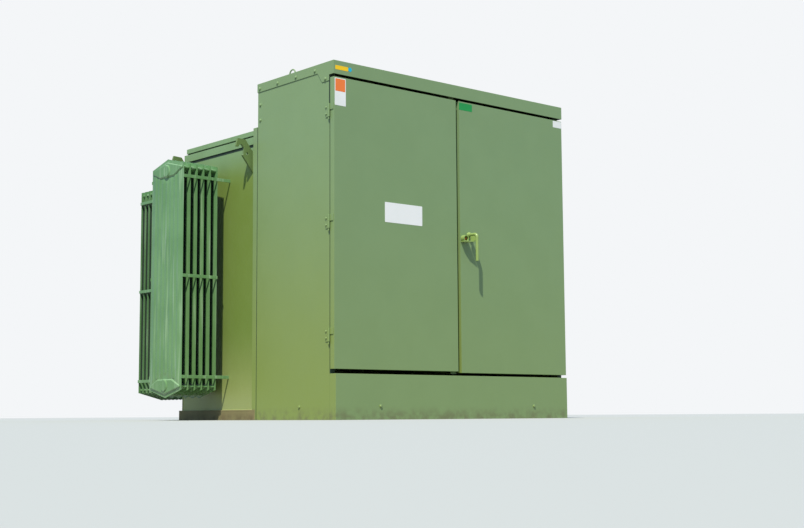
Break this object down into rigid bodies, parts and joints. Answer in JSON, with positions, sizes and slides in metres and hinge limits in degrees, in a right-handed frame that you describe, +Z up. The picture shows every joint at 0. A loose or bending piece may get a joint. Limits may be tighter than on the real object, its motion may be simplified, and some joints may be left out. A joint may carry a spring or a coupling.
{
  "type": "pad-mounted power transformer",
  "caption": "Pad-mounted three-phase power transformer with a hinged two-door terminal cabinet, welded tank and pressed-panel radiators.",
  "frame": {"origin": "ground level, in the middle of the whole footprint, with the handle and the radiators included", "axes": "+Z up, +X along the cabinet front to the right of a person facing it, +Y to the rear"},
  "size_m": [2.681, 2.405, 2.153],
  "materials": {
    "painted_green": "semi-gloss green enamel",
    "radiator_green": "flow-coated green enamel",
    "base_paint": "dirty green enamel",
    "gasket_black": "cork-rubber gasket",
    "bushing_rubber": "moulded insulation",
    "porcelain_grey": "glazed porcelain",
    "tinned_copper": "tin plate",
    "stainless": "mill finish",
    "gauge_metal": "satin",
    "brass_fitting": "cast"
  },
  "bodies": {
    "transformer": {"tank_base": "base_paint", "tank_floor": "base_paint", "tank_left_wall": "painted_green", "tank_right_wall": "painted_green", "tank_rear_wall": "painted_green", "tank_front_plate": "painted_green", "tank_band": "painted_green", "cover_gasket": "gasket_black", "tank_cover": "painted_green", "cabinet_left_wall": "painted_green", "cabinet_right_wall": "painted_green", "cabinet_back_panel": "painted_green", "hood": "painted_green", "hood_lifting_eyes": "painted_green", "front_sill": "painted_green", "left_wall_hinges": "painted_green", "right_wall_hinges": "painted_green", "lifting_lugs": "painted_green", "left_radiator": "radiator_green", "right_radiator": "radiator_green", "rear_radiator_1": "radiator_green", "rear_radiator_2": "radiator_green", "rear_radiator_3": "radiator_green", "rear_radiator_4": "radiator_green", "side_radiator_bars": "radiator_green", "rear_radiator_bars": "radiator_green", "compartment_barrier": "painted_green", "hv_bushings": "bushing_rubber", "parking_stands": "stainless", "fuse_holders": "bushing_rubber", "lv_bushings": "porcelain_grey", "lv_spades": "tinned_copper", "gauges": "gauge_metal", "pressure_relief": "brass_fitting", "drain_valve": "brass_fitting", "ground_pads": "stainless"},
    "left_door": {"left_door": "painted_green", "left_door_stiffeners": "painted_green", "left_door_hinges": "painted_green"},
    "right_door": {"right_door": "painted_green", "right_door_stiffeners": "painted_green", "right_door_hinges": "painted_green", "handle_hasp": "painted_green", "handle_boss": "painted_green"},
    "handle": {"door_handle": "painted_green"}
  },
  "joints": [
    {"name": "left_door_hinge", "type": "hinge", "parent": "transformer", "child": "left_door", "pos_m": [-0.9955, -1.077, 1.156], "axis": [0, 0, -1], "range_deg": [0, 120]},
    {"name": "right_door_hinge", "type": "hinge", "parent": "transformer", "child": "right_door", "pos_m": [0.9955, -1.077, 1.156], "axis": [0, 0, 1], "range_deg": [0, 120]},
    {"name": "handle_turn", "type": "hinge", "parent": "right_door", "child": "handle", "pos_m": [0.0985, -1.1175, 1.16], "axis": [0, -1, 0], "range_deg": [0, 90]}
  ]
}
